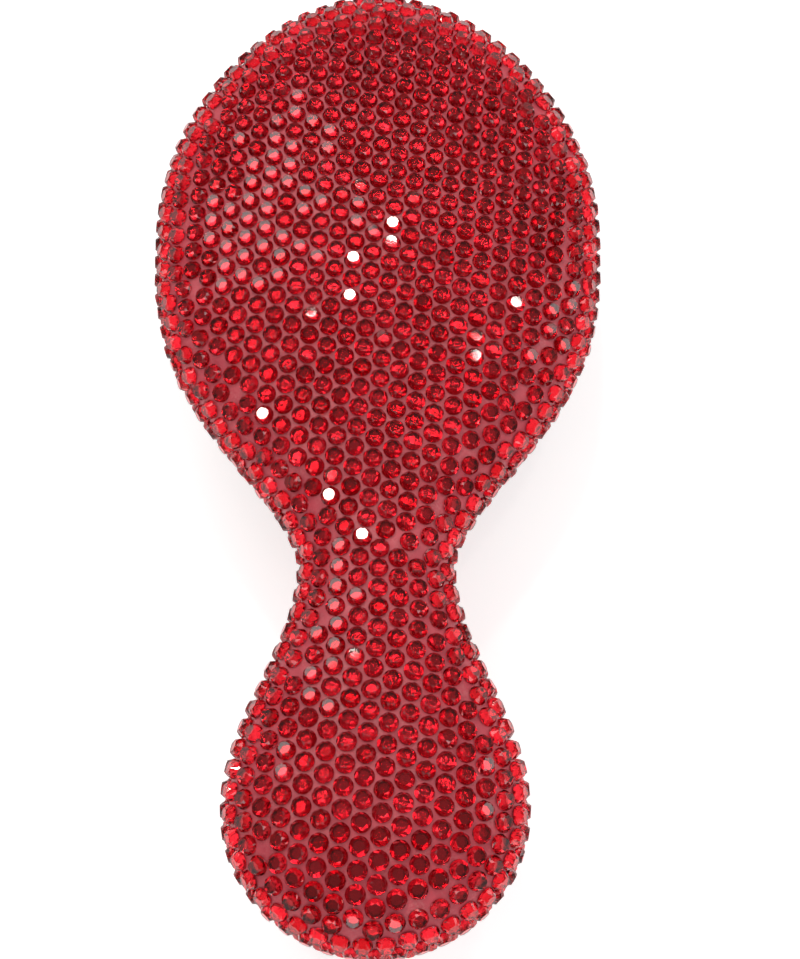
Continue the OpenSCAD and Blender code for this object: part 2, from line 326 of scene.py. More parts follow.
def seat_of(solid: Solid) -> Seat:
    """Finds the flat back of a crystal's solid.

    Args:
        solid: the crystal, a solid of revolution whose back is its widest end.

    Returns:
        The seat.
    """
    rough = solid.points.mean(axis=0)
    axis = np.linalg.eigh(np.cov((solid.points - rough).T))[1][:, 0]
    height = (solid.points - rough) @ axis
    spread = np.linalg.norm(solid.points - rough - np.outer(height, axis), axis=1)
    if np.corrcoef(height, spread)[0, 1] > 0:
        axis, height = -axis, -height
    back = solid.points[height < height.min() + BACK_BAND]
    centre = back.mean(axis=0)
    normal = np.linalg.svd(back - centre)[2][2]
    if normal @ axis < 0:
        normal = -normal
    flat = back - centre - np.outer((back - centre) @ normal, normal)
    sides = np.hstack([2 * flat, np.ones((len(flat), 1))])
    fit = np.linalg.lstsq(sides, (flat**2).sum(axis=1), rcond=None)[0]
    return Seat(Vector(centre + fit[:3] - normal * (fit[:3] @ normal)), Vector(normal))


# ---------------------------------------------------------------- shader building


class Shader:
    """A small builder of node trees, for a material or a group."""

    def __init__(self, tree: bpy.types.NodeTree) -> None:
        """Starts a builder.

        Args:
            tree: the node tree to build in.
        """
        self.tree = tree

    def node(
        self, kind: str, inputs: dict[str | int, object] | None = None, **settings: object
    ) -> bpy.types.Node:
        """Adds a node, sets its properties, and sets or links its inputs.

        Args:
            kind: the node's type, without the ShaderNode in front.
            inputs: a value or an output socket for each named or numbered input.
            settings: the node's own properties.

        Returns:
            The node.
        """
        made = self.tree.nodes.new("ShaderNode" + kind)
        for key, value in settings.items():
            setattr(made, key, value)
        for key, value in (inputs or {}).items():
            if isinstance(value, bpy.types.NodeSocket):
                self.tree.links.new(value, made.inputs[key])
            else:
                made.inputs[key].default_value = value
        return made

    def math(self, operation: str, *values: object) -> bpy.types.NodeSocket:
        """Adds a Math node.

        Args:
            operation: its operation, such as MULTIPLY.
            values: its inputs, numbers or sockets.

        Returns:
            Its output.
        """
        return self.node("Math", dict(enumerate(values)), operation=operation).outputs[0]

    def blend(self, share: object, first: object, second: object) -> bpy.types.NodeSocket:
        """Mixes two colours.

        Args:
            share: how much of the second colour shows.
            first: the first colour, four numbers or a socket.
            second: the second colour.

        Returns:
            The mixed colour.
        """
        return self.node("Mix", {0: share, 6: first, 7: second}, data_type="RGBA").outputs[2]

    def noise(
        self, position: object, scale: object, detail: float = 2.0, roughness: float = 0.5
    ) -> bpy.types.NodeSocket:
        """Adds a noise texture.

        Args:
            position: the coordinates that it reads.
            scale: how fine it is, a number or a socket.
            detail: how many finer layers it has.
            roughness: how strong the finer layers are.

        Returns:
            Its value.
        """
        values = {"Vector": position, "Scale": scale, "Detail": detail, "Roughness": roughness}
        return self.node("TexNoise", values).outputs[0]

    def ramp(
        self, value: object, low: float, high: float, to_low: object = 0.0, to_high: object = 1.0
    ) -> bpy.types.NodeSocket:
        """Maps a value from one range to another, clamped.

        Args:
            value: the number or socket to map.
            low: where its range starts.
            high: where its range ends.
            to_low: the result at the start.
            to_high: the result at the end.

        Returns:
            The result.
        """
        return self.node("MapRange", {0: value, 1: low, 2: high, 3: to_low, 4: to_high}).outputs[0]

    def group(self, tree: bpy.types.NodeTree, **inputs: object) -> bpy.types.Node:
        """Places a node group.

        Args:
            tree: the group's tree.
            inputs: its inputs by name.

        Returns:
            The group node.
        """
        return self.node("Group", inputs, node_tree=tree)


def new_material(name: str) -> tuple[bpy.types.Material, Shader, bpy.types.Node, bpy.types.NodeSocket]:
    """Starts a material.

    Args:
        name: the material's name.

    Returns:
        The material, its builder, its Principled shader, and the object coordinates.
    """
    material = bpy.data.materials.new(name)
    material.use_nodes = True
    material.node_tree.nodes.clear()
    shader = Shader(material.node_tree)
    principled = shader.node("BsdfPrincipled")
    shader.node("OutputMaterial", {"Surface": principled.outputs[0]})
    position = shader.node("TexCoord").outputs["Object"]
    return material, shader, principled, position


def set_plain(principled: bpy.types.Node, **values: object) -> None:
    """Sets plain values on a shader's own sockets, named with _ for a blank."""
    for key, value in values.items():
        principled.inputs[key.replace("_", " ")].default_value = value


def group_tree(
    name: str, inputs: dict[str, float], outputs: list[str]
) -> tuple[bpy.types.NodeTree, Shader, dict[str, bpy.types.NodeSocket]]:
    """Starts a node group that reads numbers and a position.

    Args:
        name: the group's name.
        inputs: its number inputs with their defaults.
        outputs: the names of its number outputs.

    Returns:
        The tree, its builder, and its input sockets by name.
    """
    tree = bpy.data.node_groups.new(name, "ShaderNodeTree")
    tree.interface.new_socket("Position", in_out="INPUT", socket_type="NodeSocketVector")
    for key, value in inputs.items():
        tree.interface.new_socket(key, in_out="INPUT", socket_type="NodeSocketFloat").default_value = value
    for key in outputs:
        tree.interface.new_socket(key, in_out="OUTPUT", socket_type="NodeSocketFloat")
    entry = tree.nodes.new("NodeGroupInput")
    return tree, Shader(tree), {socket.name: socket for socket in entry.outputs}


def close_group(shader: Shader, **results: bpy.types.NodeSocket) -> None:
    """Links a group's results to its outputs, named with _ for a blank."""
    leave = shader.tree.nodes.new("NodeGroupOutput")
    for key, value in results.items():
        shader.tree.links.new(value, leave.inputs[key.replace("_", " ")])


class Effects:
    """The shared surface effects, each a node group that is built once."""

    CLOUD_SPAN = (0.42, 0.72)
    SPECK_SCALE = 4000.0
    SPECK_SPAN = (0.35, 0.65)
    EDGE_SPAN = (0.51, 0.6)
    BREAK_SCALE = 700.0
    BREAK_SPAN = (0.35, 0.6)

    def __init__(self) -> None:
        """Builds the groups."""
        self.grain = self._grain()
        self.film = self._film()
        self.scuffs = self._scuffs()

    def _grain(self) -> bpy.types.NodeTree:
        """Fine moulded grain: a height, and a slow mottle of tone."""
        inputs = {"Scale": 2000.0, "Mottle": 60.0}
        tree, shader, ways = group_tree("moulded_grain", inputs, ["Height", "Tone"])
        fine = shader.noise(ways["Position"], ways["Scale"], 3.0)
        slow = shader.noise(ways["Position"], ways["Mottle"])
        close_group(shader, Height=fine, Tone=shader.ramp(slow, *NOISE_SPAN))
        return tree

    def _film(self) -> bpy.types.NodeTree:
        """A thin uneven film of dust and handling, as a mask."""
        tree, shader, ways = group_tree("dust_film", {"Scale": 120.0, "Amount": 0.2}, ["Mask"])
        cloud = shader.noise(ways["Position"], ways["Scale"], 4.0, 0.6)
        specks = shader.noise(ways["Position"], self.SPECK_SCALE, 1.0)
        cloud, specks = shader.ramp(cloud, *self.CLOUD_SPAN), shader.ramp(specks, *self.SPECK_SPAN)
        mask = shader.math("MULTIPLY", cloud, specks)
        close_group(shader, Mask=shader.math("MULTIPLY", mask, ways["Amount"]))
        return tree

    def _scuffs(self) -> bpy.types.NodeTree:
        """Worn edges: the sharp convex edges of a piece, broken up by noise."""
        tree, shader, ways = group_tree("edge_scuffs", {"Amount": 0.5}, ["Mask"])
        point = shader.node("NewGeometry").outputs["Pointiness"]
        patches = shader.ramp(shader.noise(ways["Position"], self.BREAK_SCALE), *self.BREAK_SPAN)
        broken = shader.math("MULTIPLY", shader.ramp(point, *self.EDGE_SPAN), patches)
        close_group(shader, Mask=shader.math("MULTIPLY", broken, ways["Amount"]))
        return tree


# ---------------------------------------------------------------- finishes


Colour = tuple[float, float, float, float]


@dataclass(frozen=True)
class CrystalGlass:
    """Clear red glass of a crystal's facets."""

    tint: Colour = (0.94, 0.030, 0.060, 1.0)
    deep: Colour = (0.70, 0.006, 0.020, 1.0)
    roughness: float = 0.03
    film_roughness: float = 0.6
    ior: float = 1.56

    def build(self, effects: Effects) -> bpy.types.Material:
        """Builds the material, whose tint follows each stone's tone."""
        material, shader, glass, position = new_material("crystal_glass")
        tone = shader.node("Attribute", attribute_name="tone").outputs["Fac"]
        colour = shader.blend(tone, self.tint, self.deep)
        film = shader.group(effects.film, Position=position, Scale=260.0, Amount=0.10)
        rough = shader.math("MULTIPLY", film.outputs["Mask"], self.film_roughness)
        rough = shader.math("ADD", rough, self.roughness)
        set_plain(glass, IOR=self.ior, Transmission_Weight=1.0)
        shader.tree.links.new(colour, glass.inputs["Base Color"])
        shader.tree.links.new(rough, glass.inputs["Roughness"])
        return material


@dataclass(frozen=True)
class CrystalFoil:
    """Mirror foil behind a crystal, seen through its glass."""

    bright: Colour = (0.98, 0.62, 0.60, 1.0)
    dark: Colour = (0.75, 0.20, 0.22, 1.0)
    roughness: float = 0.16

    def build(self, effects: Effects) -> bpy.types.Material:
        """Builds the material, with a crinkle that breaks up what it mirrors."""
        material, shader, foil, position = new_material("crystal_foil")
        tone = shader.node("Attribute", attribute_name="tone").outputs["Fac"]
        grain = shader.group(effects.grain, Position=position, Scale=1500.0, Mottle=900.0)
        share = shader.math("MULTIPLY", shader.math("ADD", tone, grain.outputs["Tone"]), 0.5)
        crinkle = {"Strength": 0.55, "Distance": 0.06 * MM, "Height": grain.outputs["Height"]}
        bump = shader.node("Bump", crinkle)
        set_plain(foil, Metallic=1.0, Roughness=self.roughness)
        shader.tree.links.new(shader.blend(share, self.bright, self.dark), foil.inputs["Base Color"])
        shader.tree.links.new(bump.outputs[0], foil.inputs["Normal"])
        return material


@dataclass(frozen=True)
class SetAdhesive:
    """Dull rosy adhesive between the crystals."""

    colour: Colour = (0.66, 0.085, 0.115, 1.0)
    shade: Colour = (0.48, 0.045, 0.07, 1.0)
    dust: Colour = (0.8, 0.45, 0.42, 1.0)
    roughness: float = 0.45

    def build(self, effects: Effects) -> bpy.types.Material:
        """Builds the material, blotchy and slightly lumpy."""
        material, shader, dull, position = new_material("set_adhesive")
        grain = shader.group(effects.grain, Position=position, Scale=1100.0, Mottle=260.0)
        film = shader.group(effects.film, Position=position, Scale=300.0, Amount=0.25)
        colour = shader.blend(grain.outputs["Tone"], self.colour, self.shade)
        colour = shader.blend(film.outputs["Mask"], colour, self.dust)
        lumps = {"Strength": 0.5, "Distance": 0.1 * MM, "Height": grain.outputs["Height"]}
        bump = shader.node("Bump", lumps)
        set_plain(dull, Roughness=self.roughness)
        shader.tree.links.new(colour, dull.inputs["Base Color"])
        shader.tree.links.new(bump.outputs[0], dull.inputs["Normal"])
        return material


@dataclass(frozen=True)
class Moulded:
    """A moulded plastic or rubber."""

    name: str
    colour: Colour
    shade: Colour
    roughness: float
    grain_scale: float
    grain_depth: float
    dust: Colour = (0.5, 0.5, 0.5, 1.0)
    dust_amount: float = 0.15
    wear: Colour = (0.6, 0.3, 0.3, 1.0)
    dust_roughness: float = 0.5
    wear_amount: float = 0.3
    coat: float = 0.0

    def build(self, effects: Effects) -> bpy.types.Material:
        """Builds the material: mottled tone, grain, dust film and worn edges."""
        material, shader, body, position = new_material(self.name)
        grain = shader.group(effects.grain, Position=position, Scale=self.grain_scale, Mottle=90.0)
        film = shader.group(effects.film, Position=position, Scale=140.0, Amount=self.dust_amount)
        scuffs = shader.group(effects.scuffs, Position=position, Amount=self.wear_amount)
        colour = shader.blend(grain.outputs["Tone"], self.colour, self.shade)
        colour = shader.blend(film.outputs["Mask"], colour, self.dust)
        colour = shader.blend(scuffs.outputs["Mask"], colour, self.wear)
        rough = shader.math("MULTIPLY", film.outputs["Mask"], self.dust_roughness)
        rough = shader.math("ADD", rough, self.roughness)
        bump = shader.node(
            "Bump", {"Strength": 0.6, "Distance": self.grain_depth, "Height": grain.outputs["Height"]}
        )
        set_plain(body, Coat_Weight=self.coat, Coat_Roughness=0.08)
        shader.tree.links.new(colour, body.inputs["Base Color"])
        shader.tree.links.new(rough, body.inputs["Roughness"])
        shader.tree.links.new(bump.outputs[0], body.inputs["Normal"])
        return material


RED_SHELL = Moulded(
    name="red_moulded_shell",
    colour=(0.45, 0.012, 0.02, 1.0),
    shade=(0.36, 0.008, 0.016, 1.0),
    roughness=0.22,
    grain_scale=900.0,
    grain_depth=0.02 * MM,
    coat=0.4,
)
RED_FRAME = Moulded(
    name="red_moulded_frame",
    colour=(0.50, 0.014, 0.022, 1.0),
    shade=(0.40, 0.009, 0.018, 1.0),
    roughness=0.18,
    grain_scale=700.0,
    grain_depth=0.015 * MM,
    coat=0.5,
)
GREY_RING = Moulded(
    name="grey_moulded_ring",
    colour=(0.12, 0.12, 0.125, 1.0),
    shade=(0.09, 0.09, 0.095, 1.0),
    roughness=0.5,
    grain_scale=1500.0,
    grain_depth=0.03 * MM,
)
BLACK_RUBBER = Moulded(
    name="black_pad_rubber",
    colour=(0.022, 0.021, 0.021, 1.0),
    shade=(0.034, 0.032, 0.032, 1.0),
    roughness=0.55,
    grain_scale=2200.0,
    grain_depth=0.03 * MM,
    dust=(0.30, 0.28, 0.27, 1.0),
    dust_amount=0.10,
    wear=(0.06, 0.06, 0.06, 1.0),
)
BLACK_NYLON = Moulded(
    name="black_pin_nylon",
    colour=(0.016, 0.016, 0.017, 1.0),
    shade=(0.024, 0.024, 0.025, 1.0),
    roughness=0.28,
    grain_scale=2500.0,
    grain_depth=0.01 * MM,
    dust=(0.2, 0.2, 0.2, 1.0),
    dust_amount=0.06,
    wear=(0.05, 0.05, 0.05, 1.0),
)


# ---------------------------------------------------------------- the crystals


@dataclass
class CrystalPaving:
    """The crystals: one cut stone, copied to every seat of the CAD crystals.

    The spread_ fields say how the stones push each other over the adhesive. They want
    spread_reach times the room they need, and just that room in the last rounds.
    """

    effects: Effects
    radius: float = 1.40 * MM
    height: float = 1.20 * MM
    girdle_top: float = 0.24 * MM
    rim_low: float = 0.85
    table_in: float = 0.80 * MM
    star_tip: tuple[float, float] = (1.10 * MM, 0.80 * MM)
    sides: int = 16
    weld: float = 0.01 * MM
    flat_angle: float = math.radians(1.0)
    tilt: float = math.radians(2.2)
    size_spread: float = 0.015
    tone_middle: float = 0.35
    tone_spread: float = 0.28
    spread_rounds: int = 60
    spread_wide: float = 0.7
    spread_reach: float = 1.14
    spread_push: float = 0.3
    spread_limit: float = 0.85 * MM
    touch_gap: float = 0.02 * MM
    reseat_every: int = 5
    seat_lift: float = 0.26 * MM
    skin_pull: float = 2.0
    seed: int = 11
    nodes: tuple[str, ...] = field(
        default_factory=lambda: tuple(f"crystal_edge_row_{i}" for i in range(1, 6))
        + ("head_crystals", "neck_crystals", "handle_crystals")
    )

    def facet(self, turn: float, low: tuple[float, float], high: tuple[float, float]) -> tuple[Vector, Vector]:
        """Plane of a facet that rises inwards.

        Args:
            turn: the way it faces, in degrees round the stone.
            low: radius and height of a point low on it.
            high: radius and height of a point high on it.

        Returns:
            A point of the plane and its outward normal.
        """
        angle = math.radians(turn)
        out = Vector((math.cos(angle), math.sin(angle), 0.0))
        normal = out * (high[1] - low[1]) + UP * (low[0] - high[0])
        return out * low[0] + UP * low[1], normal.normalized()

    def facets(self) -> list[tuple[Vector, Vector]]:
        """All slanted facets: a main and a star for every two sides, and one rim a side."""
        pairs = self.sides // 2
        step = 360.0 / pairs
        corner = self.table_in / math.cos(math.radians(step / 2))
        top = (corner, self.height)
        inner = (self.table_in, self.height)
        mains = [self.facet(i * step, (self.radius, self.girdle_top), top) for i in range(pairs)]
        stars = [self.facet((i + 0.5) * step, self.star_tip, inner) for i in range(pairs)]
        low = (self.radius * math.cos(math.pi / self.sides), self.girdle_top * self.rim_low)
        tip = (self.star_tip[0] * math.cos(math.radians(step / 4)), self.star_tip[1])
        rims = [self.facet((i + 0.5) * step / 2, low, tip) for i in range(self.sides)]
        return mains + stars + rims

    def cut_stone(self, glass: bpy.types.Material, foil: bpy.types.Material) -> bpy.types.Object:
        """Cuts the model stone from a cylinder.

        Args:
            glass: the material of its facets.
            foil: the material of its flat back.

        Returns:
            The stone, its back on the origin, facing up.
        """
        bpy.ops.object.select_all(action="DESELECT")
        bpy.ops.mesh.primitive_cylinder_add(
            vertices=self.sides, radius=self.radius, depth=self.height, location=(0, 0, self.height / 2)
        )
        stone = bpy.context.active_object
        settle(stone, "cut_stone")
        with editing(stone):
            for point, normal in self.facets():
                bpy.ops.mesh.select_all(action="SELECT")
                bpy.ops.mesh.bisect(plane_co=point, plane_no=normal, use_fill=True, clear_outer=True)
            bpy.ops.mesh.select_all(action="SELECT")
            bpy.ops.mesh.remove_doubles(threshold=self.weld)
            bpy.ops.mesh.dissolve_limited(angle_limit=self.flat_angle)
        stone.data.materials.append(glass)
        stone.data.materials.append(foil)
        for face in stone.data.polygons:
            face.material_index = int(face.normal.z < -LEVEL)
            face.use_smooth = False
        stone.data.attributes.new("tone", "FLOAT", "FACE")
        return stone

    def place(self, seat: Seat, draw: random.Random) -> Matrix:
        """Where a stone goes: on its seat, with a random spin and a slight tilt.

        Args:
            seat: the seat in the CAD model.
            draw: the random source.

        Returns:
            The stone's place.
        """
        lean = Vector((draw.gauss(0.0, self.tilt), draw.gauss(0.0, self.tilt), 1.0)).normalized()
        turn = seat.facing.to_track_quat("Z", "Y").to_matrix().to_4x4()
        tip = UP.rotation_difference(lean).to_matrix().to_4x4()
        spin = Matrix.Rotation(draw.uniform(0.0, math.tau), 4, "Z")
        size = 1.0 - abs(draw.gauss(0.0, self.size_spread))
        return Matrix.Translation(seat.middle) @ turn @ tip @ spin @ Matrix.Scale(size, 4)

    def spread(self, seats: list[Seat]) -> list[Seat]:
        """Spreads the crystals a little over the adhesive, so that no bare strip shows.

        Args:
            seats: every seat of the CAD crystals.

        Returns:
            The seats, each moved along the skin by about spread_limit at most.
        """
        skin = merged_copy("crystal_adhesive", "seat_guide")
        middles = np.array([seat.middle for seat in seats])
        start = middles.copy()
        touch = 2.0 * self.radius + self.touch_gap
        wide_rounds = self.spread_rounds * self.spread_wide
        for turn in range(self.spread_rounds):
            want = touch * (self.spread_reach if turn < wide_rounds else 1.0)
            gap = middles[:, None, :] - middles[None, :, :]
            far = np.linalg.norm(gap, axis=2)
            np.fill_diagonal(far, 1.0)
            share = np.where(far < want, (want - far) / far * self.spread_push, 0.0)
            middles = middles + (gap * share[:, :, None]).sum(axis=1)
            away = middles - start
            length = np.maximum(np.linalg.norm(away, axis=1, keepdims=True), TINY)
            middles = start + away * np.minimum(1.0, self.spread_limit / length)
            if (turn + 1) % self.reseat_every == 0 or turn == self.spread_rounds - 1:
                for index, point in enumerate(middles):
                    hit, place, normal, _ = skin.closest_point_on_mesh(Vector(point))
                    if hit:
                        middles[index] = place + normal * self.seat_lift
        moved = []
        for point, seat in zip(middles, seats):
            hit, place, normal, _ = skin.closest_point_on_mesh(Vector(point))
            facing = (seat.facing + normal * self.skin_pull).normalized() if hit else seat.facing
            moved.append(Seat(Vector(point), facing))
        discard(skin)
        return moved

    def build(self) -> None:
        """Paves the brush, one object per CAD node of crystals."""
        glass = CrystalGlass().build(self.effects)
        foil = CrystalFoil().build(self.effects)
        model = self.cut_stone(glass, foil)
        draw = random.Random(self.seed)
        found = {node: [seat_of(solid) for solid in solids_of(node)] for node in self.nodes}
        seats = iter(self.spread([seat for node in self.nodes for seat in found[node]]))
        for node in self.nodes:
            stones = []
            for _ in found[node]:
                stone = copy_at(model, self.place(next(seats), draw))
                tone = min(1.0, max(0.0, draw.gauss(self.tone_middle, self.tone_spread)))
                values = [tone] * len(stone.data.polygons)
                stone.data.attributes["tone"].data.foreach_set("value", values)
                stones.append(stone)
            count = len(stones)
            piece = joined(stones, node + "_stones")
            install(piece, Body.BRUSH, Slot.CRYSTALS, None, node)
            LOG.info("%s: %d crystals", piece.name, count)
        discard(model)


# ---------------------------------------------------------------- the body of the brush


@dataclass
class BrushBody:
    """The moulded shell and frame, the ring inside, and the skin of adhesive.

    core_height places, as a share of the shell's height, the core that the skin's
    outside faces away from, and core_reach is how much the distance along it counts.
    """

    effects: Effects
    bevel: float = 0.25 * MM
    edge_angle: float = math.radians(50.0)
    flat_angle: float = math.radians(0.5)
    swell: float = 0.22 * MM
    core_height: float = 0.4
    core_reach: float = 0.15
    smooth: float = math.radians(35.0)

    def adhesive(self) -> None:
        """Builds the skin of adhesive, swollen outwards to the backs of the crystals."""
        skin = merged_copy("crystal_adhesive", "adhesive_skin")
        low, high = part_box("back_shell")
        core = Vector((0.0, 0.0, low.z + (high.z - low.z) * self.core_height))
        group = skin.vertex_groups.new(name="outside")
        for vertex in skin.data.vertices:
            out = vertex.co - core
            out.y *= self.core_reach
            if vertex.normal.dot(out) > 0.0:
                group.add([vertex.index], 1.0, "REPLACE")
        apply_modifier(
            skin, "DISPLACE", strength=self.swell, mid_level=0.0, direction="NORMAL", vertex_group=group.name
        )
        skin.vertex_groups.clear()
        only(skin)
        bpy.ops.object.shade_smooth_by_angle(angle=self.smooth)
        install(skin, Body.BRUSH, Slot.ADHESIVE, SetAdhesive().build(self.effects), "crystal_adhesive")

    def front_frame(self) -> None:
        """Builds the front frame with softened edges."""
        piece = merged_copy("front_frame", "front_frame_moulding")
        with editing(piece):
            bpy.ops.mesh.select_all(action="SELECT")
            bpy.ops.mesh.dissolve_limited(angle_limit=self.flat_angle)
        apply_modifier(
            piece,
            "BEVEL",
            width=self.bevel,
            segments=2,
            limit_method="ANGLE",
            angle_limit=self.edge_angle,
            use_clamp_overlap=True,
        )
        only(piece)
        bpy.ops.object.shade_smooth_by_angle(angle=self.smooth)
        install(piece, Body.BRUSH, Slot.FRAME, RED_FRAME.build(self.effects), "front_frame")

    def dress_cad(self) -> None:
        """Gives the shell and the retaining ring, which stay as they are, their finishes."""
        for node, finish, slot in (
            ("back_shell", RED_SHELL, Slot.SHELL),
            ("retaining_ring", GREY_RING, Slot.RING),
        ):
            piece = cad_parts[node]
            piece.data.materials.clear()
            piece.data.materials.append(finish.build(self.effects))
            LOG.info("%s: CAD node with %s", node, finish.name)

    def build(self) -> None:
        """Builds all of it."""
        self.adhesive()
        self.front_frame()
        self.dress_cad()


# ---------------------------------------------------------------- the pad and the pins


@dataclass
class CushionPad:
    """The rubber pad."""

    effects: Effects
    smooth: float = math.radians(40.0)

    def build(self) -> None:
        """Builds the pad from its CAD solid."""
        pad = merged_copy("cushion_pad", "cushion_pad_rubber")
        only(pad)
        bpy.ops.object.shade_smooth_by_angle(angle=self.smooth)
        install(pad, Body.BRUSH, Slot.PAD, BLACK_RUBBER.build(self.effects), "cushion_pad")
        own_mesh(pad)


@dataclass
class PinRows:
    """The pins: one modelled pin and its rubber collar, copied row by row.

    ball, neck and root are a pin's radii at its tip, over the tip and at its foot.
    stub_start is the height at which the shaft starts, in radii of the ball.
    """

    effects: Effects
    rows: int = 13
    sides: int = 14
    ball_rings: int = 9
    shaft_rings: int = 7
    ball: float = 0.85 * MM
    neck: float = 0.42 * MM
    root: float = 0.62 * MM
    taper: float = 1.6
    stub_start: float = 1.9
    stub: float = 0.5 * MM
    foot_depth: float = 0.8 * MM
    edge: float = 0.08 * MM
    edge_angle: float = math.radians(60)
    smooth: float = math.radians(45.0)
    collar_radius: float = 0.85 * MM
    collar_thickness: float = 0.4 * MM
    collar_lift: float = 0.1 * MM

    def shaft_radius(self, share: float) -> float:
        """Radius of the shaft, from its neck at 0 to its root at 1."""
        return self.neck + (self.root - self.neck) * share**self.taper

    def model_pin(self, solid: Solid) -> bpy.types.Object:
        """Models a pin with the height and the foot of one of the CAD pins.

        Args:
            solid: the CAD pin.

        Returns:
            The pin, with its axis on x = y = 0.
        """
        top = float(solid.high[2])
        foot = float(solid.high[0] - solid.low[0]) / 2
        start = self.stub_start * self.ball
        shoulder = top - self.foot_depth
        rise = (shoulder - (start + self.stub)) / self.shaft_rings
        bpy.ops.object.select_all(action="DESELECT")
        bpy.ops.mesh.primitive_uv_sphere_add(
            segments=self.sides, ring_count=self.ball_rings, radius=self.ball, location=(0, 0, self.ball)
        )
        tip = bpy.context.active_object
        bpy.ops.object.select_all(action="DESELECT")
        bpy.ops.mesh.primitive_cylinder_add(
            vertices=self.sides, radius=self.neck, depth=self.stub, location=(0, 0, start + self.stub / 2)
        )
        shaft = bpy.context.active_object
        with editing(shaft):
            pick_faces(shaft, lambda face: face.normal.z > LEVEL)
            for ring in range(self.shaft_rings):
                before = self.shaft_radius(ring / self.shaft_rings)
                after = self.shaft_radius((ring + 1) / self.shaft_rings)
                bpy.ops.mesh.extrude_region_move(TRANSFORM_OT_translate={"value": (0, 0, rise)})
                bpy.ops.transform.resize(value=(after / before, after / before, 1.0))
            bpy.ops.mesh.extrude_region_move(TRANSFORM_OT_translate={"value": (0, 0, 0)})
            bpy.ops.transform.resize(value=(foot / self.root, foot / self.root, 1.0))
            bpy.ops.mesh.extrude_region_move(TRANSFORM_OT_translate={"value": (0, 0, top - shoulder)})
        pin = joined([shaft, tip], "pin_model")
        apply_modifier(
            pin, "BEVEL", width=self.edge, segments=1, limit_method="ANGLE", angle_limit=self.edge_angle
        )
        only(pin)
        bpy.ops.object.shade_smooth_by_angle(angle=self.smooth)
        return pin

    def model_collar(self, pad_face: float) -> bpy.types.Object:
        """Models the low rubber collar that grips a pin at the pad's face.

        Args:
            pad_face: the height of the pad's face.

        Returns:
            The collar, with its axis on x = y = 0.
        """
        bpy.ops.object.select_all(action="DESELECT")
        bpy.ops.mesh.primitive_torus_add(
            major_segments=16,
            minor_segments=8,
            major_radius=self.collar_radius,
            minor_radius=self.collar_thickness,
            location=(0, 0, pad_face + self.collar_lift),
        )
        collar = settle(bpy.context.active_object, "collar_model")
        only(collar)
        bpy.ops.object.shade_smooth()
        return collar

    @staticmethod
    def spot(solid: Solid) -> Matrix:
        """Where a CAD pin stands, as a move from the origin."""
        middle = (solid.low + solid.high) / 2
        return Matrix.Translation((middle[0], middle[1], 0.0))

    def build(self) -> None:
        """Builds every row of pins and their collars."""
        nylon = BLACK_NYLON.build(self.effects)
        rubber = bpy.data.materials[BLACK_RUBBER.name]
        nodes = [f"pin_row_{row:02d}" for row in range(1, self.rows + 1)]
        pin = self.model_pin(solids_of(nodes[0])[0])
        collar = self.model_collar(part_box("cushion_pad")[0].z)
        for node in nodes:
            spots = [self.spot(solid) for solid in solids_of(node)]
            pins = joined([copy_at(pin, spot) for spot in spots], node + "_pins")
            install(pins, Body.PINS, Slot.PINS, nylon, node)
            collars = joined([copy_at(collar, spot) for spot in spots], node + "_collars")
            install(collars, Body.PINS, Slot.PAD, rubber)
        discard(pin)
        discard(collar)


# ---------------------------------------------------------------- the studio


@dataclass(frozen=True)
class SoftBox:
    """An area lamp that faces the brush."""

    name: str
    azimuth: float
    elevation: float
    distance: float
    size: tuple[float, float]
    radiance: float
    tint: tuple[float, float, float] = (1.0, 1.0, 1.0)
    round: bool = False

    def build(self, aim: Vector) -> bpy.types.Object:
        """Hangs the lamp.

        Args:
            aim: the point that it faces.

        Returns:
            The lamp. Azimuth 0 is over the head's end, 90 over the right side.
        """
        turn, rise = math.radians(self.azimuth), math.radians(self.elevation)
        out = Vector((math.sin(turn) * math.cos(rise), math.cos(turn) * math.cos(rise), math.sin(rise)))
        lamp = bpy.data.lights.new(self.name, "AREA")
        lamp.shape = "ELLIPSE" if self.round else "RECTANGLE"
        lamp.size, lamp.size_y = self.size
        area = self.size[0] * self.size[1] * (math.pi / 4 if self.round else 1.0)
        lamp.energy = self.radiance * area * math.pi
        lamp.color = self.tint
        item = bpy.data.objects.new(self.name, lamp)
        item.location = aim + out * self.distance
        item.rotation_mode = "QUATERNION"
        item.rotation_quaternion = out.to_track_quat("Z", "Y")
        bpy.context.scene.collection.objects.link(item)
        return item


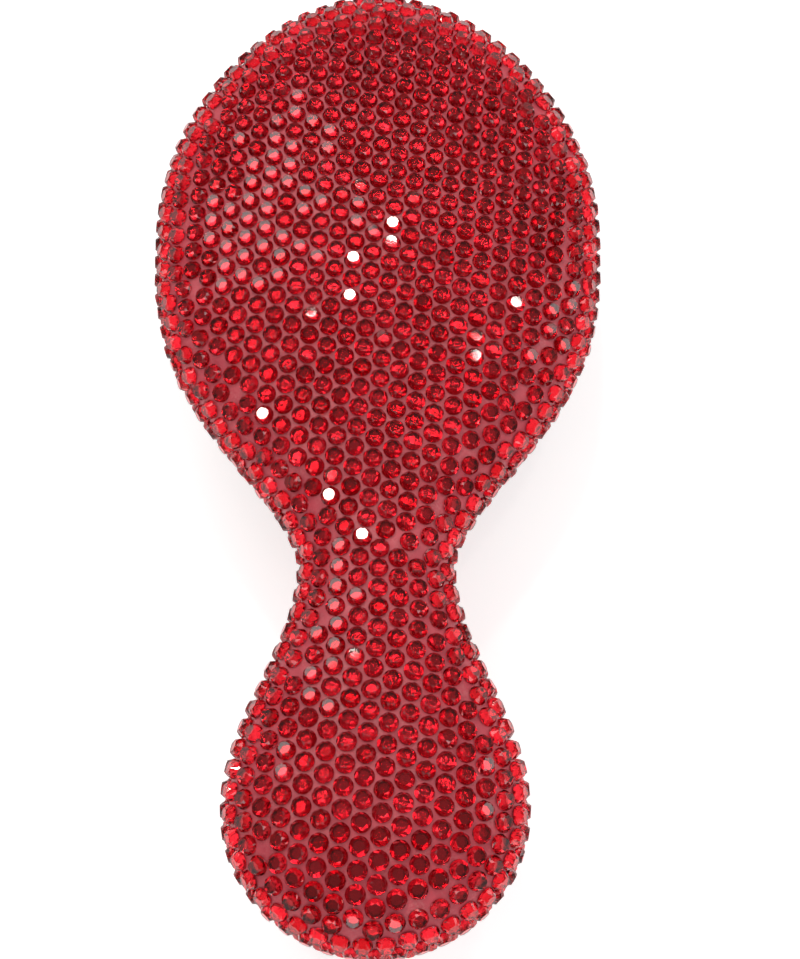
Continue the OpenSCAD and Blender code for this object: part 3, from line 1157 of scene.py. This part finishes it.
@dataclass
class Studio:
    """Floor, lights, background and camera."""

    aim: Vector = field(default_factory=lambda: Vector((0.0033, -0.0063, 0.0213)))
    elevation: float = 68.0
    distance: float = 0.300
    tall_angle: float = 25.76
    sensor: float = 36.0
    clip: tuple[float, float] = (0.01, 20.0)
    floor_size: float = 4.0
    floor_mottle: float = 30.0
    floor_tones: tuple[float, float] = (0.80, 0.82)
    floor_glow: float = 0.55
    sky: float = 0.55
    ceiling: float = 0.20
    backdrop_top: tuple[float, float] = (0.15, 0.45)
    lamps: tuple[SoftBox, ...] = (
        SoftBox("key_softbox", -35.0, 52.0, 0.75, (0.36, 0.24), 3.4),
        SoftBox("side_softbox", 75.0, 38.0, 0.80, (0.30, 0.26), 3.0),
        SoftBox("front_softbox", 180.0, 26.0, 0.85, (0.50, 0.16), 3.0),
        SoftBox("flash_bulb", -6.0, 62.0, 0.60, (0.045, 0.045), 70.0, (1.0, 0.96, 0.88), True),
        SoftBox("left_bulb", -75.0, 66.0, 0.60, (0.05, 0.05), 45.0, (1.0, 0.90, 0.78), True),
        SoftBox("right_bulb", 50.0, 70.0, 0.60, (0.04, 0.04), 45.0, (1.0, 0.95, 0.90), True),
    )

    def floor(self) -> None:
        """Lays the pale floor, white to the camera and still shaded by the brush."""
        bpy.ops.object.select_all(action="DESELECT")
        bpy.ops.mesh.primitive_grid_add(x_subdivisions=8, y_subdivisions=8, size=self.floor_size)
        plane = settle(bpy.context.active_object, "studio_floor")
        material, shader, paint, position = new_material("pale_floor")
        path = shader.node("LightPath").outputs
        seen = shader.math("MAXIMUM", path["Is Camera Ray"], path["Is Glossy Ray"])
        seen = shader.math("MAXIMUM", seen, path["Is Transmission Ray"])
        tone = shader.ramp(shader.noise(position, self.floor_mottle), *NOISE_SPAN, *self.floor_tones)
        colour = shader.node("CombineColor", {0: tone, 1: tone, 2: tone}).outputs[0]
        shader.tree.links.new(colour, paint.inputs["Base Color"])
        set_plain(paint, Roughness=0.9, Specular_IOR_Level=0.2, Emission_Color=(1, 1, 1, 1))
        glow = shader.math("MULTIPLY", seen, self.floor_glow)
        shader.tree.links.new(glow, paint.inputs["Emission Strength"])
        plane.data.materials.append(material)

    def background(self) -> None:
        """Sets the world: white to the camera, and dimming overhead to glass and gloss."""
        world = bpy.data.worlds.new("studio_world")
        bpy.context.scene.world = world
        world.use_nodes = True
        world.node_tree.nodes.clear()
        shader = Shader(world.node_tree)
        path = shader.node("LightPath").outputs
        mirrored = shader.math("MAXIMUM", path["Is Glossy Ray"], path["Is Transmission Ray"])
        way = shader.node("TexCoord").outputs["Generated"]
        rise = shader.node("SeparateXYZ", {0: way}).outputs["Z"]
        backdrop = shader.ramp(rise, *self.backdrop_top, 1.0, self.ceiling)
        lit = shader.ramp(mirrored, 0.0, 1.0, self.sky, backdrop)
        strength = shader.ramp(path["Is Camera Ray"], 0.0, 1.0, lit, 1.0)
        back = shader.node("Background", {"Color": (1, 1, 1, 1), "Strength": strength})
        shader.node("OutputWorld", {"Surface": back.outputs[0]})

    def camera(self) -> None:
        """Places the camera over the handle's end, looking at the brush's back."""
        rise = math.radians(self.elevation)
        out = Vector((0.0, -math.cos(rise), math.sin(rise)))
        data = bpy.data.cameras.new("studio_camera")
        data.sensor_fit = "AUTO"
        data.sensor_width = self.sensor
        data.lens = data.sensor_width / 2 / math.tan(math.radians(self.tall_angle) / 2)
        data.clip_start, data.clip_end = self.clip
        item = bpy.data.objects.new("studio_camera", data)
        item.location = self.aim + out * self.distance
        item.rotation_mode = "QUATERNION"
        item.rotation_quaternion = (-out).to_track_quat("-Z", "Y")
        bpy.context.scene.collection.objects.link(item)
        bpy.context.scene.camera = item

    def build(self) -> None:
        """Builds the studio."""
        self.floor()
        self.background()
        for lamp in self.lamps:
            lamp.build(self.aim)
        self.camera()
        bpy.context.scene.view_settings.view_transform = "Standard"
        LOG.info("studio: %d lamps", len(self.lamps))


def main() -> None:
    """Builds the brush and its studio."""
    logging.basicConfig(level=logging.INFO, format="%(name)s: %(message)s")
    effects = Effects()
    BrushBody(effects).build()
    CushionPad(effects).build()
    PinRows(effects).build()
    CrystalPaving(effects).build()
    Studio().build()


if __name__ == "__main__":
    main()
